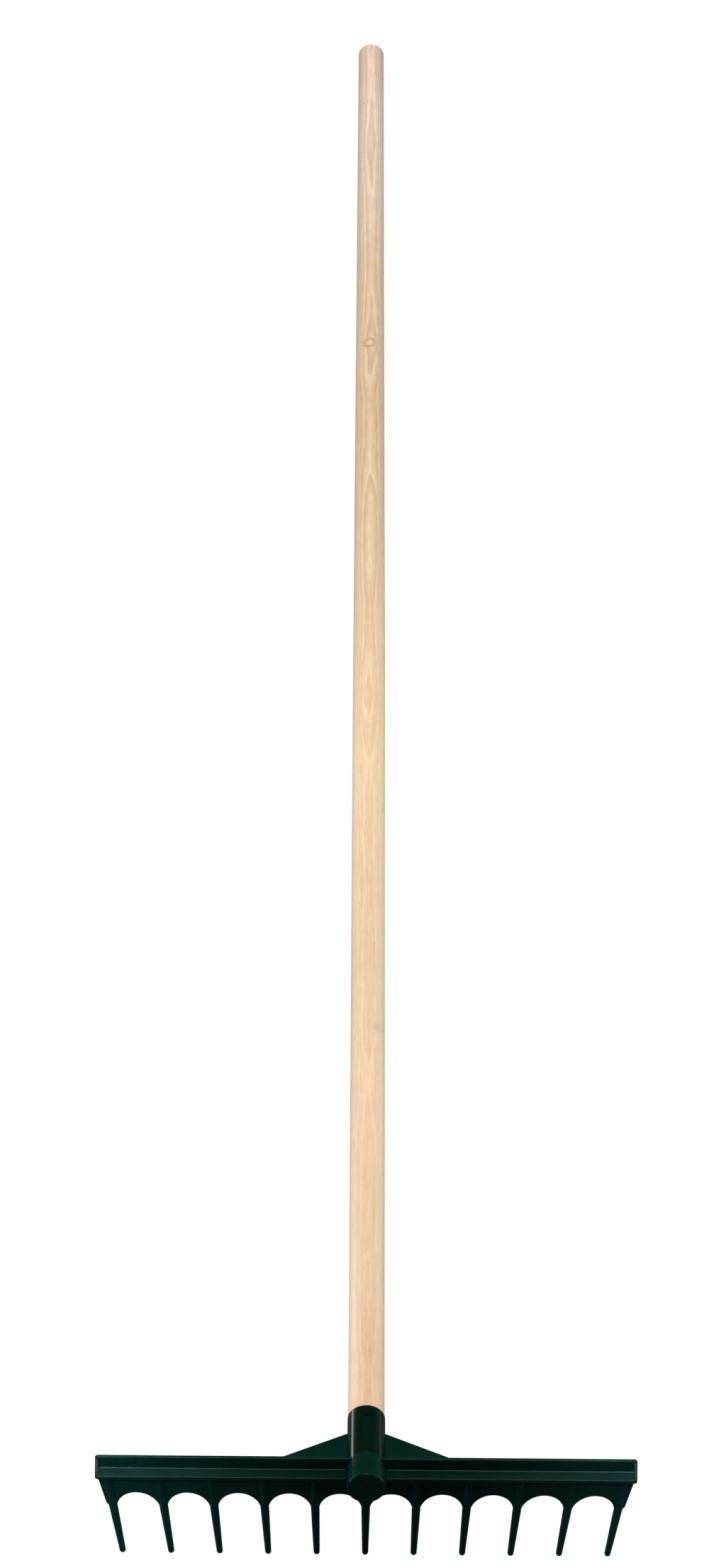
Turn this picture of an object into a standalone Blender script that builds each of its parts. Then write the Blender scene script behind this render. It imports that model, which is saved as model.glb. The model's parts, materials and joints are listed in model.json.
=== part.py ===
"""Bunker rake: a moulded plastic rake head on a long turned wooden handle.

All lengths are metres, +Z is up. The rake is modelled in a head frame: x runs across the
comb, y runs along the handle from the comb's front face towards the handle's far end, and z is
square to both, up through the comb's top edge. An empty then leans the head frame, so that
the eleven tine tips and the far end of the handle touch the plane z = 0, as the rake lies on
flat ground. The world origin is under the middle of the whole rake.
"""
import math

import bmesh
import bpy
from mathutils import Matrix, Vector

# Handle: one turned pole, straight near the head and slimmer towards its far end
HANDLE_LENGTH = 1.829
HANDLE_DIAMETER = 0.0254
HANDLE_TAPER = 0.0032
HANDLE_STRAIGHT_LENGTH = 0.85
HANDLE_END_CHAMFER = 0.0012

# Tenon: the turned-down end of the handle that sits in the head's socket
TENON_SHOULDER = 0.0014
TENON_TAPER = 0.0022
TENON_TIP_CHAMFER = 0.0010
SHOULDER_CHAMFER = 0.0004

# Socket: a round tube through the comb, open at the back and closed by a boss in front. It
# widens a little to the mould's parting line, and narrows again to the boss's face.
SOCKET_BACK_LENGTH = 0.0505
BOSS_LENGTH = 0.0194
SOCKET_WALL = 0.0016
SOCKET_DRAFT = 0.0009
BOSS_DRAFT = 0.0004
PARTING_LINE_Y = 0.0008
BOSS_END_WALL = 0.0034
BOSS_EDGE_CHAMFER = 0.0005
FIT_CLEARANCE = 0.0003
TENON_END_SPACE = 0.0045

# Empty screw hole on top of the socket, with its pilot hole in the wood
SCREW_HOLE_DIAMETER = 0.0025
SCREW_HOLE_FROM_RIM = 0.0103
PILOT_HOLE_DIAMETER = 0.0020
PILOT_HOLE_DEPTH = 0.0080

# Comb plate, which stands square to the handle
COMB_WIDTH = 0.375
PLATE_THICKNESS = 0.0025
PLATE_RISE = 0.0095
PLATE_CORNER_RADIUS = 0.0021
ARCH_CROWN_DROP = 0.0243
ARCH_HEIGHT = 0.0155

# Ledge along the front of the plate, and the gussets behind it at the same level, which run
# into the socket's wall
LEDGE_TOP_DROP = 0.0005
LEDGE_THICKNESS = 0.0030
LEDGE_DEPTH = 0.0090
LEDGE_CORNER_RADIUS = 0.0022
LEDGE_BOSS_GAP = 0.0004
END_WALL_THICKNESS = 0.0024
GUSSET_SPREAD = 0.077
GUSSET_REACH = 0.036
GUSSET_OVERLAP = 0.0025

# Tines: round and tapered, ribs on the plate above the arches and free below them. The plate
# ends in a tongue inside each tine, which is a share of the tine's width there.
TINE_COUNT = 11
OUTER_TINE_INSET = 0.0125
TIP_PITCH_LOSS = 0.00115
TINE_REACH = 0.0828
TINE_ROOT_DIAMETER = 0.0061
TINE_TIP_DIAMETER = 0.0044
RIB_TOP_DIAMETER = 0.0054
RIB_END_SLOPE = 0.0020
TONGUE_SHARE = 0.95
OUTER_STRIP = 0.0020
OUTER_STRIP_CHAMFER = 0.0035

# How finely curves are drawn
TUBE_STEPS = 64
TINE_STEPS = 16
HOLE_STEPS = 16
ARCH_SEGMENTS = 12
CORNER_SEGMENTS = 4
TIP_SEGMENTS = 3

# How far a cutter runs past the surface it opens, and how near two drawn points count as one
CUTTER_MARGIN = 0.002
MERGE_DISTANCE = 0.00001

# Plain colours and roughness of the two materials
PLASTIC_COLOUR = (0.006, 0.024, 0.017)
PLASTIC_ROUGHNESS = 0.38
WOOD_COLOUR = (0.73, 0.52, 0.33)
WOOD_ROUGHNESS = 0.55

# Sizes that follow from the ones above
HANDLE_FAR_DIAMETER = HANDLE_DIAMETER - HANDLE_TAPER
TENON_LENGTH = SOCKET_BACK_LENGTH + BOSS_LENGTH - BOSS_END_WALL - TENON_END_SPACE
TENON_MOUTH_DIAMETER = HANDLE_DIAMETER - 2 * TENON_SHOULDER
TENON_TIP_DIAMETER = TENON_MOUTH_DIAMETER - TENON_TAPER
SOCKET_RIM_DIAMETER = TENON_MOUTH_DIAMETER + 2 * (FIT_CLEARANCE + SOCKET_WALL)
SOCKET_ROOT_DIAMETER = SOCKET_RIM_DIAMETER + SOCKET_DRAFT
BOSS_FACE_DIAMETER = SOCKET_ROOT_DIAMETER - BOSS_DRAFT
ROOT_PITCH = (COMB_WIDTH - 2 * OUTER_TINE_INSET) / (TINE_COUNT - 1)
TIP_PITCH = ROOT_PITCH - TIP_PITCH_LOSS
TIP_RADIUS = TINE_TIP_DIAMETER / 2

# Levels along z and places along y that follow
PLATE_MIDDLE = PLATE_THICKNESS / 2
LEDGE_TOP = -LEDGE_TOP_DROP
LEDGE_BOTTOM = LEDGE_TOP - LEDGE_THICKNESS
LEDGE_MIDDLE = LEDGE_BOTTOM + LEDGE_THICKNESS / 2
ROOT_LEVEL = -(ARCH_CROWN_DROP + ARCH_HEIGHT)
TIP_CENTRE_LEVEL = -(TINE_REACH - TIP_RADIUS)
SCREW_HOLE_Y = SOCKET_BACK_LENGTH - SCREW_HOLE_FROM_RIM
TENON_TIP_Y = SOCKET_BACK_LENGTH - TENON_LENGTH
HANDLE_FAR_Y = TENON_TIP_Y + HANDLE_LENGTH


def clear_scene():
    """Removes every object that the start-up scene holds."""
    for thing in list(bpy.data.objects):
        bpy.data.objects.remove(thing, do_unlink=True)


def make_collection(name):
    collection = bpy.data.collections.new(name)
    bpy.context.scene.collection.children.link(collection)
    return collection


def make_material(name, colour, roughness):
    material = bpy.data.materials.new(name)
    material.use_nodes = True
    shader = material.node_tree.nodes["Principled BSDF"]
    shader.inputs["Base Color"].default_value = (*colour, 1.0)
    shader.inputs["Roughness"].default_value = roughness
    shader.inputs["Metallic"].default_value = 0.0
    return material


def make_cutter(thing, cutters):
    """Keeps a helper solid out of the finished part."""
    cutters.objects.link(thing)
    thing.hide_render = True
    thing.display_type = "WIRE"
    return thing


def join_solid(target, tool, operation):
    modifier = target.modifiers.new(operation.lower() + "_" + tool.name, "BOOLEAN")
    modifier.operation = operation
    modifier.solver = "EXACT"
    modifier.object = tool


def turned(name, profile, steps, half_step=False):
    """A turned solid about its own z axis, from (radius, height) points, top to bottom.

    Solids that cross each other start half a step apart, so that their edges do not meet.
    """
    mesh = bpy.data.meshes.new(name)
    start = math.pi / steps if half_step else 0.0
    points = [(radius * math.cos(start), radius * math.sin(start), height) for radius, height in profile]
    mesh.from_pydata(points, [(i, i + 1) for i in range(len(points) - 1)], [])
    thing = bpy.data.objects.new(name, mesh)
    screw = thing.modifiers.new("turn", "SCREW")
    screw.axis = "Z"
    screw.steps = steps
    screw.render_steps = steps
    screw.use_merge_vertices = True
    screw.merge_threshold = MERGE_DISTANCE
    screw.use_smooth_shade = True
    return thing


def flat_shape(name, outline, axes, low, high):
    """A flat plate from a filled outline.

    The outline's two coordinates run along the head frame's first two axes, and the plate
    lies between low and high on the third.
    """
    curve = bpy.data.curves.new(name, "CURVE")
    curve.dimensions = "2D"
    curve.fill_mode = "BOTH"
    curve.extrude = (high - low) / 2
    spline = curve.splines.new("POLY")
    spline.points.add(len(outline) - 1)
    for point, (u, v) in zip(spline.points, outline):
        point.co = (u, v, 0.0, 1.0)
    spline.use_cyclic_u = True
    drawn = bpy.data.objects.new(name + "_outline", curve)
    bpy.context.scene.collection.objects.link(drawn)
    evaluated = drawn.evaluated_get(bpy.context.evaluated_depsgraph_get())
    mesh = bpy.data.meshes.new_from_object(evaluated)
    bpy.data.objects.remove(drawn, do_unlink=True)
    mesh.name = name
    across, along, through = axes
    for vertex in mesh.vertices:
        u, v, side = vertex.co
        place = Vector((0.0, 0.0, 0.0))
        place[across] = u
        place[along] = v
        place[through] = low if side < 0 else high
        vertex.co = place
    shape = bmesh.new()
    shape.from_mesh(mesh)
    bmesh.ops.remove_doubles(shape, verts=shape.verts, dist=MERGE_DISTANCE)
    for level in (low, high):
        side_faces = []
        for face in shape.faces:
            if all(abs(corner.co[through] - level) < MERGE_DISTANCE for corner in face.verts):
                side_faces.append(face)
        bmesh.ops.dissolve_faces(shape, faces=side_faces)
    bmesh.ops.recalc_face_normals(shape, faces=shape.faces)
    shape.to_mesh(mesh)
    shape.free()
    return bpy.data.objects.new(name, mesh)


def arc(centre, radii, start, end, segments):
    """Points along an ellipse's arc, from one angle to another, both ends included."""
    points = []
    for i in range(segments + 1):
        angle = start + (end - start) * i / segments
        points.append((centre[0] + radii[0] * math.cos(angle), centre[1] + radii[1] * math.sin(angle)))
    return points


def pitch_at(level):
    """Distance between neighbouring tine axes, which close in a little towards the tips."""
    share = (ROOT_LEVEL - level) / (ROOT_LEVEL - TIP_CENTRE_LEVEL)
    return ROOT_PITCH + (TIP_PITCH - ROOT_PITCH) * share


def tongue_half_width():
    """Half the width of the plate where it runs out inside a tine."""
    return TONGUE_SHARE * math.sqrt((TINE_ROOT_DIAMETER / 2) ** 2 - PLATE_MIDDLE ** 2)


def arch_points(gap):
    """The arch between two tines, from its left foot over the crown to its right foot."""
    half = ROOT_PITCH / 2 - tongue_half_width()
    points = []
    for x, z in arc((0.0, ROOT_LEVEL), (half, ARCH_HEIGHT), math.pi, 0.0, ARCH_SEGMENTS):
        points.append((gap * pitch_at(z) + x, z))
    return points


def plate_outline():
    """The comb plate seen from the front, anticlockwise from its lower left."""
    half_width = COMB_WIDTH / 2
    outer = (TINE_COUNT - 1) / 2
    radius = PLATE_CORNER_RADIUS
    outline = []
    for i in range(TINE_COUNT - 1):
        outline += arch_points(i + 0.5 - outer)
    strip_level = ROOT_LEVEL + OUTER_STRIP_CHAMFER + OUTER_STRIP
    strip_edge = outer * pitch_at(strip_level) + TINE_ROOT_DIAMETER / 2 + OUTER_STRIP
    foot = outer * ROOT_PITCH + tongue_half_width()
    outline.append((foot, ROOT_LEVEL))
    outline.append((foot, ROOT_LEVEL + OUTER_STRIP))
    outline.append((strip_edge, strip_level))
    outline.append((half_width, LEDGE_BOTTOM))
    outline += arc((half_width - radius, PLATE_RISE - radius), (radius, radius), 0.0, math.pi / 2,
                   CORNER_SEGMENTS)
    outline += arc((radius - half_width, PLATE_RISE - radius), (radius, radius), math.pi / 2, math.pi,
                   CORNER_SEGMENTS)
    outline.append((-half_width, LEDGE_BOTTOM))
    outline.append((-strip_edge, strip_level))
    outline.append((-foot, ROOT_LEVEL + OUTER_STRIP))
    outline.append((-foot, ROOT_LEVEL))
    return outline


def ledge_outline(side):
    """One half of the ledge seen from above, from beside the boss to the comb's end."""
    inner = SOCKET_ROOT_DIAMETER / 2 + LEDGE_BOSS_GAP
    outer = COMB_WIDTH / 2
    radius = LEDGE_CORNER_RADIUS
    corner = arc((outer - radius, radius - LEDGE_DEPTH), (radius, radius), -math.pi / 2, 0.0,
                 CORNER_SEGMENTS)
    outline = [(inner, PLATE_MIDDLE), (inner, -LEDGE_DEPTH)] + corner + [(outer, PLATE_MIDDLE)]
    return [(side * x, y) for x, y in outline]


def gusset_outline(side):
    """One triangular gusset seen from above, between the back of the plate and the socket."""
    socket_side = SOCKET_ROOT_DIAMETER / 2
    inside = socket_side - GUSSET_OVERLAP
    slope = (GUSSET_REACH - PLATE_THICKNESS) / (GUSSET_SPREAD - socket_side)
    outline = [
        (inside, PLATE_MIDDLE),
        (GUSSET_SPREAD + (PLATE_THICKNESS - PLATE_MIDDLE) / slope, PLATE_MIDDLE),
        (socket_side, GUSSET_REACH),
        (inside, GUSSET_REACH),
    ]
    return [(side * x, y) for x, y in outline]


def end_wall_outline():
    """A comb end wall seen from the side: it slopes from the plate's top to the ledge's front."""
    wall_front = LEDGE_CORNER_RADIUS - LEDGE_DEPTH
    return [
        (PLATE_MIDDLE, LEDGE_MIDDLE),
        (PLATE_MIDDLE, PLATE_RISE - PLATE_CORNER_RADIUS),
        (0.0, PLATE_RISE - PLATE_CORNER_RADIUS),
        (wall_front, LEDGE_TOP),
        (wall_front, LEDGE_MIDDLE),
    ]


def tine_profile():
    """Half section of a tine along its own axis, from the rib's top to the round tip."""
    profile = [
        (0.0, LEDGE_MIDDLE),
        (PLATE_MIDDLE, LEDGE_MIDDLE),
        (RIB_TOP_DIAMETER / 2, LEDGE_MIDDLE - RIB_END_SLOPE),
        (TINE_ROOT_DIAMETER / 2, ROOT_LEVEL),
    ]
    profile += arc((0.0, TIP_CENTRE_LEVEL), (TIP_RADIUS, TIP_RADIUS), 0.0, -math.pi / 2, TIP_SEGMENTS)[:-1]
    profile.append((0.0, TIP_CENTRE_LEVEL - TIP_RADIUS))
    return profile


def socket_profile():
    """Half section of the socket and boss; height is the head frame's y, rim first."""
    face_radius = BOSS_FACE_DIAMETER / 2
    return [
        (0.0, SOCKET_BACK_LENGTH),
        (SOCKET_RIM_DIAMETER / 2, SOCKET_BACK_LENGTH),
        (SOCKET_ROOT_DIAMETER / 2, PARTING_LINE_Y),
        (face_radius, BOSS_EDGE_CHAMFER - BOSS_LENGTH),
        (face_radius - BOSS_EDGE_CHAMFER, -BOSS_LENGTH),
        (0.0, -BOSS_LENGTH),
    ]


def bore_profile():
    """Half section of the socket's bore, which follows the tenon with clearance all round."""
    tip = TENON_TIP_DIAMETER / 2 + FIT_CLEARANCE
    taper = (TENON_MOUTH_DIAMETER - TENON_TIP_DIAMETER) / 2 / TENON_LENGTH
    opening = TENON_MOUTH_DIAMETER / 2 + FIT_CLEARANCE + taper * CUTTER_MARGIN
    return [
        (0.0, SOCKET_BACK_LENGTH + CUTTER_MARGIN),
        (opening, SOCKET_BACK_LENGTH + CUTTER_MARGIN),
        (tip, TENON_TIP_Y),
        (tip, TENON_TIP_Y - TENON_END_SPACE),
        (0.0, TENON_TIP_Y - TENON_END_SPACE),
    ]


def handle_profile():
    """Half section of the handle; height 0 is the socket's rim, and the far end comes first."""
    far = HANDLE_LENGTH - TENON_LENGTH
    far_radius = HANDLE_FAR_DIAMETER / 2
    radius = HANDLE_DIAMETER / 2
    tip_radius = TENON_TIP_DIAMETER / 2
    return [
        (0.0, far),
        (far_radius - HANDLE_END_CHAMFER, far),
        (far_radius, far - HANDLE_END_CHAMFER),
        (radius, HANDLE_STRAIGHT_LENGTH),
        (radius, FIT_CLEARANCE + SHOULDER_CHAMFER),
        (radius - SHOULDER_CHAMFER, FIT_CLEARANCE),
        (TENON_MOUTH_DIAMETER / 2, FIT_CLEARANCE),
        (tip_radius, TENON_TIP_CHAMFER - TENON_LENGTH),
        (tip_radius - TENON_TIP_CHAMFER, -TENON_LENGTH),
        (0.0, -TENON_LENGTH),
    ]


def round_cutter(name, diameter, y, low, high):
    """An upright round cutter on the screw hole's axis, from one level to another."""
    mesh = bpy.data.meshes.new(name)
    shape = bmesh.new()
    place = Matrix.Translation((0.0, y, (low + high) / 2))
    half_step = Matrix.Rotation(math.pi / HOLE_STEPS, 4, "Z")
    bmesh.ops.create_cone(shape, cap_ends=True, segments=HOLE_STEPS, radius1=diameter / 2,
                          radius2=diameter / 2, depth=high - low, matrix=place @ half_step)
    shape.to_mesh(mesh)
    shape.free()
    return bpy.data.objects.new(name, mesh)


def lie_angle():
    """How far the handle dips from level, with the tine tips and its far end on the ground."""
    reach = HANDLE_FAR_Y - HANDLE_END_CHAMFER - PLATE_MIDDLE
    drop = -TIP_CENTRE_LEVEL - HANDLE_FAR_DIAMETER / 2
    return math.atan2(drop, reach) + math.asin(TIP_RADIUS / math.hypot(reach, drop))


def place_root(collection):
    """The empty that carries the head frame: it leans the rake and centres it on the origin."""
    angle = lie_angle()
    sine = math.sin(angle)
    cosine = math.cos(angle)
    tip_height = -PLATE_MIDDLE * sine + TIP_CENTRE_LEVEL * cosine - TIP_RADIUS
    face_edge = BOSS_FACE_DIAMETER / 2 - BOSS_EDGE_CHAMFER
    front = -BOSS_LENGTH * cosine - face_edge * sine
    far_edge = HANDLE_FAR_DIAMETER / 2 - HANDLE_END_CHAMFER
    back = HANDLE_FAR_Y * cosine + far_edge * sine
    root = bpy.data.objects.new("rake_lie", None)
    collection.objects.link(root)
    root.location = (0.0, -(front + back) / 2, -tip_height)
    root.rotation_euler = (-angle, 0.0, 0.0)
    return root


def turn_along_handle(thing, y):
    """Lays a turned solid's own z axis along the head frame's y."""
    thing.location = (0.0, y, 0.0)
    thing.rotation_euler = (-math.pi / 2, 0.0, 0.0)


def build_head(part, cutters, root, plastic):
    """The moulded head: socket, boss, comb plate, ledge, walls, gussets and tines in one."""
    head = turned("rake_head", socket_profile(), TUBE_STEPS)
    part.objects.link(head)
    head.parent = root
    turn_along_handle(head, 0.0)
    head.data.materials.append(plastic)

    from_front = (0, 2, 1)
    from_above = (0, 1, 2)
    from_side = (1, 2, 0)
    added = [flat_shape("comb_plate", plate_outline(), from_front, 0.0, PLATE_THICKNESS)]
    for side, word in ((-1, "left"), (1, "right")):
        added.append(flat_shape("ledge_" + word, ledge_outline(side), from_above, LEDGE_BOTTOM, LEDGE_TOP))
        added.append(flat_shape("gusset_" + word, gusset_outline(side), from_above, LEDGE_BOTTOM,
                                LEDGE_TOP))
        outside = side * COMB_WIDTH / 2
        inside = side * (COMB_WIDTH / 2 - END_WALL_THICKNESS)
        added.append(flat_shape("end_wall_" + word, end_wall_outline(), from_side, min(inside, outside),
                                max(inside, outside)))
    for thing in added:
        make_cutter(thing, cutters)
        thing.parent = root
        join_solid(head, thing, "UNION")

    lean = (ROOT_PITCH - TIP_PITCH) / (ROOT_LEVEL - TIP_CENTRE_LEVEL)
    for i in range(TINE_COUNT):
        place = i - (TINE_COUNT - 1) / 2
        tine = make_cutter(turned("tine_%02d" % (i + 1), tine_profile(), TINE_STEPS, True), cutters)
        tine.parent = root
        angle = math.atan(place * lean)
        root_point = Vector((place * ROOT_PITCH, PLATE_MIDDLE, ROOT_LEVEL))
        swing = Matrix.Rotation(angle, 4, "Y")
        pivot = Vector((0.0, 0.0, ROOT_LEVEL))
        matrix = Matrix.Translation(root_point) @ swing @ Matrix.Translation(-pivot)
        tine.location = matrix.translation
        tine.rotation_euler = (0.0, angle, 0.0)
        join_solid(head, tine, "UNION")

    bore = make_cutter(turned("socket_bore", bore_profile(), TUBE_STEPS, True), cutters)
    bore.parent = root
    turn_along_handle(bore, 0.0)
    join_solid(head, bore, "DIFFERENCE")

    hole_top = SOCKET_ROOT_DIAMETER / 2 + CUTTER_MARGIN
    hole = make_cutter(round_cutter("screw_hole", SCREW_HOLE_DIAMETER, SCREW_HOLE_Y, 0.0, hole_top),
                       cutters)
    hole.parent = root
    join_solid(head, hole, "DIFFERENCE")
    return head


def build_handle(part, cutters, root, wood):
    """The handle; its origin is on the socket's axis at the rim, where it slides out."""
    handle = turned("handle", handle_profile(), TUBE_STEPS)
    part.objects.link(handle)
    handle.parent = root
    turn_along_handle(handle, SOCKET_BACK_LENGTH)
    handle.data.materials.append(wood)

    tenon_top = TENON_MOUTH_DIAMETER / 2
    pilot = make_cutter(round_cutter("pilot_hole", PILOT_HOLE_DIAMETER, SCREW_HOLE_Y,
                                     tenon_top - PILOT_HOLE_DEPTH, tenon_top + CUTTER_MARGIN), cutters)
    pilot.parent = root
    join_solid(handle, pilot, "DIFFERENCE")
    return handle


def main():
    clear_scene()
    part = make_collection("bunker_rake")
    cutters = make_collection("cutters")
    plastic = make_material("moulded_green_plastic", PLASTIC_COLOUR, PLASTIC_ROUGHNESS)
    wood = make_material("pale_wood", WOOD_COLOUR, WOOD_ROUGHNESS)
    root = place_root(part)
    build_head(part, cutters, root, plastic)
    build_handle(part, cutters, root, wood)


main()
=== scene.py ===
import json
import math

import bmesh
import bpy
from mathutils import Matrix, Vector


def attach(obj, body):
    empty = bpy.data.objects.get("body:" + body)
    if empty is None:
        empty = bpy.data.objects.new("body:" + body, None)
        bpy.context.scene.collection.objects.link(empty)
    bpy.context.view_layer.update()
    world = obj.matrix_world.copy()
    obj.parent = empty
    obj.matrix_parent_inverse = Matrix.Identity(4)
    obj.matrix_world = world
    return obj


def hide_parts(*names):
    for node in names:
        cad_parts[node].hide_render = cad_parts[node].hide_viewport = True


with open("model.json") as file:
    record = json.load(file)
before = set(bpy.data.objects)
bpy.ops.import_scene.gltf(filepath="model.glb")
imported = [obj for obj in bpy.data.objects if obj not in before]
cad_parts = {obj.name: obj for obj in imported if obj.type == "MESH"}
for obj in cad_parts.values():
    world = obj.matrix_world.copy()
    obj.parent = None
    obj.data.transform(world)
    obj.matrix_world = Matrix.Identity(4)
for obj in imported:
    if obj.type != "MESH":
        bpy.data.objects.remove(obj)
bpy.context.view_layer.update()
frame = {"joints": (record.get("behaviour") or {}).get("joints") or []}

# Bunker rake. All lengths are metres. Every piece is drawn in the head's own frame: x across
# the comb, y along the handle from the comb's front face, z up through the comb's top edge.
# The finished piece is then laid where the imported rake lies.

# Boss: the closed round end in front of the comb
BOSS_LENGTH = 0.0194
BOSS_RADIUS = 0.01342
BOSS_EDGE_RADIUS = 0.0009

# Marks on the boss's sunk face, from the middle outwards: height over its floor, and radius
FACE_SINK = 0.00025
GATE_MARK = ((0.00020, 0.00050), (0.00015, 0.00080), (0.0, 0.00095))
FACE_RING = ((0.0, 0.00355), (0.00017, 0.00370), (0.00017, 0.00392), (0.0, 0.00407))
FACE_LIP = ((0.0, 0.01110), (0.00005, 0.01135), (0.00021, 0.01155), (FACE_SINK, 0.01175))

# Collar around the comb's plate, with the mould's parting line: place along y, and radius
PARTING_LINE = ((0.0003, 0.01359), (0.0006, 0.01364), (0.0010, 0.01364))
COLLAR_BACK = 0.0034
COLLAR_RADIUS = 0.01360
COLLAR_EDGE_START = 0.0004
COLLAR_EDGE_RADIUS = 0.0003
COLLAR_BACK_RING_RADIUS = 0.01150

# Sleeve behind the collar, which it starts a little way inside
SOCKET_LENGTH = 0.0505
SLEEVE_LAP = 0.0004
SLEEVE_FRONT_RADIUS = 0.01334
RIM_RADIUS = 0.01316
RIM_EDGE_RADIUS = 0.0004
MOUTH_EDGE_RADIUS = 0.0003

# Bore for the tenon, from the rim to its blind end in the boss
BORE_MOUTH_RADIUS = 0.0116
BORE_SLEEVE_RADIUS = 0.01085
BORE_COLLAR_RADIUS = 0.01084
BORE_TAPER_END_Y = -0.0115
BORE_END_RADIUS = 0.0105
BORE_END_Y = -0.0160
BORE_END_CHAMFER = 0.0010

# Empty screw hole in the sleeve's top, with a flared mouth: height from the top, and growth
SCREW_HOLE_RADIUS = 0.00125
SCREW_HOLE_Y = 0.0402
SCREW_HOLE_TOP = 0.01322
SCREW_HOLE_MOUTH = ((-0.0004, 0.0), (0.0001, 0.0003))

# Handle: lengths from the rim of the socket
HANDLE_RADIUS = 0.0127
HANDLE_FAR_RADIUS = 0.0111
HANDLE_STRAIGHT = 0.850
HANDLE_REACH = 1.767
HANDLE_END_EDGE_RADIUS = 0.0012
SHOULDER_GAP = 0.0003
SHOULDER_EDGE_RADIUS = 0.0005
TENON_LENGTH = 0.062
TENON_MOUTH_RADIUS = 0.0113
TENON_TIP_RADIUS = 0.0102
TENON_TIP_EDGE_RADIUS = 0.0010
PILOT_HOLE_RADIUS = 0.0010
PILOT_HOLE_BOTTOM = 0.0033

# Small fillet between the tenon and the shoulder: place from the rim, and growth
TENON_FILLET = ((-0.0004, 0.0), (0.0001, 0.0001), (0.0003, 0.0003))

# Comb plate and the arches between its tines
COMB_HALF_WIDTH = 0.1875
PLATE_THICKNESS = 0.0025
PLATE_TOP = 0.0095
PLATE_CORNER_RADIUS = 0.0021
ARCH_FOOT_LEVEL = -0.0398
ARCH_HEIGHT = 0.0155
ARCH_HALF_WIDTH = 0.01486
EDGE_RADIUS = 0.00045
THIN_EDGE_RADIUS = 0.0003

# Ledge along the front, hollow where it meets the plate
LEDGE_TOP = -0.0005
LEDGE_BOTTOM = -0.0035
LEDGE_DEPTH = 0.0090
LEDGE_INNER_X = 0.01405
LEDGE_CORNER_RADIUS = 0.0022
LEDGE_HOLLOW = 0.0010
LEDGE_END_INSET = 0.00004
JOINT_LINE_SINK = 0.00002

# End walls, and the gussets behind the plate
END_WALL_THICKNESS = 0.0024
GUSSET_SPREAD = 0.077
GUSSET_REACH = 0.036
GUSSET_ROOT_X = 0.01365
GUSSET_SINK = 0.0025

# The comb's slanted end, from the ledge down to the outer tine: x, and level
PLATE_END_LINE = ((COMB_HALF_WIDTH, LEDGE_BOTTOM), (0.18009, -0.0343), (0.17764, -0.0378))

# Tines: pitch at the arches' feet, and how much it closes per metre of drop
TINE_COUNT = 11
TINE_PITCH = 0.035
TINE_FAN = 0.0281863
TINE_ROOT_RADIUS = 0.00305
TINE_TIP_RADIUS = 0.0022
TINE_TIP_LEVEL = -0.0806

# Blunt top of a tine's rib on the plate: level, and radius
TINE_TOP = ((-0.0021, 0.0009), (-0.0026, 0.0018), (-0.0033, 0.0024), (-0.0043, 0.0027))

# Faces around the round pieces and cutters, and steps along each stretch of the handle
SOCKET_SEGMENTS = 128
HANDLE_SEGMENTS = 112
ARCH_SEGMENTS = 72
TINE_SEGMENTS = 32
SCREW_HOLE_SEGMENTS = 32
PILOT_HOLE_SEGMENTS = 24
HANDLE_STEPS = 8

# How close an edge or face lies to a place for it to be picked or cut there
CUT_TOLERANCE = 0.000001
ON_LINE = 0.000005
TOUCHING = 0.00001
NEAR = 0.0001
AROUND = 0.001

# How far a cutter or a block that is cut down stands past what it shapes
CUTTER_PAST = 0.001
HOLE_CUTTER_PAST = 0.002
BLOCK_PAST = 0.01

# Faces that meet at a smaller angle, in degrees, are shaded as one curve or left unrounded
SMOOTH_ANGLE = 40
ROUNDED_ANGLE = 35

# The comb's two sides: direction along x, and word in a piece's name
SIDES = ((-1, "left"), (1, "right"))

# Finishes of the plastic: gloss, its two greens, the pale dust and painted sheen on upper faces, and
# the grain
SATIN_FINISH = {"roughness": 0.20, "specular": 0.085, "light": (0.0003, 0.0162, 0.0106),
                "deep": (0.0002, 0.0129, 0.0087), "dust_and_sheen": 0.025, "grain": 0.20}
# The sleeve's two greens are darker and more olive than the comb's: a painted shade on the same
# plastic
SMOOTH_SHADED_FINISH = {"roughness": 0.21, "specular": 0.10, "light": (0.0006, 0.0080, 0.0036),
                 "deep": (0.0004, 0.0060, 0.0027), "dust_and_sheen": 0.002, "grain": 0.08}
# Pale dust with a painted sheen on the comb's upper faces towards its ends
DUST_AND_SHEEN_COLOUR = (0.27, 0.31, 0.40, 1.0)
SCUFF_COLOUR = (0.02, 0.035, 0.03, 1.0)

# Wood: its tone along the handle, as a share of the length from the rim
WOOD_TONES = ((0.00, (0.656, 0.453, 0.309)), (0.10, (0.681, 0.500, 0.365)),
              (0.17, (0.724, 0.533, 0.395)), (0.25, (0.684, 0.508, 0.365)),
              (0.42, (0.682, 0.515, 0.357)), (0.60, (0.555, 0.407, 0.279)),
              (0.68, (0.539, 0.390, 0.269)), (0.78, (0.560, 0.415, 0.294)),
              (0.92, (0.631, 0.496, 0.416)), (1.00, (0.609, 0.448, 0.370)))

# How pale the wood is within one growth ring, from its start to its end
RING_PALENESS = ((0.00, 0.85), (0.07, 0.95), (0.16, 0.30), (0.30, 0.08), (0.55, 0.30),
                 (0.80, 0.50), (0.93, 0.72), (1.00, 0.85))

# What the rosy right side and the pale and dark parts of a ring multiply the tone by, and how
# much of a ring's paleness is its own
ROSY_TINT = (0.93, 0.93, 1.08)
PALE_RING_TINT = (1.34, 1.43, 1.54)
DARK_RING_TINT = (0.95, 0.92, 0.87)
OWN_TONE_SHARE = 0.15

# What lies over the rings: its strength, and what it multiplies their colour by
STREAKS = (0.80, (0.88, 0.84, 0.78))
MOTTLE = (0.75, (0.92, 0.88, 0.84))
FIBRES = (0.50, (0.74, 0.69, 0.62))
SMUDGES = (0.30, (0.86, 0.85, 0.84))

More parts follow.
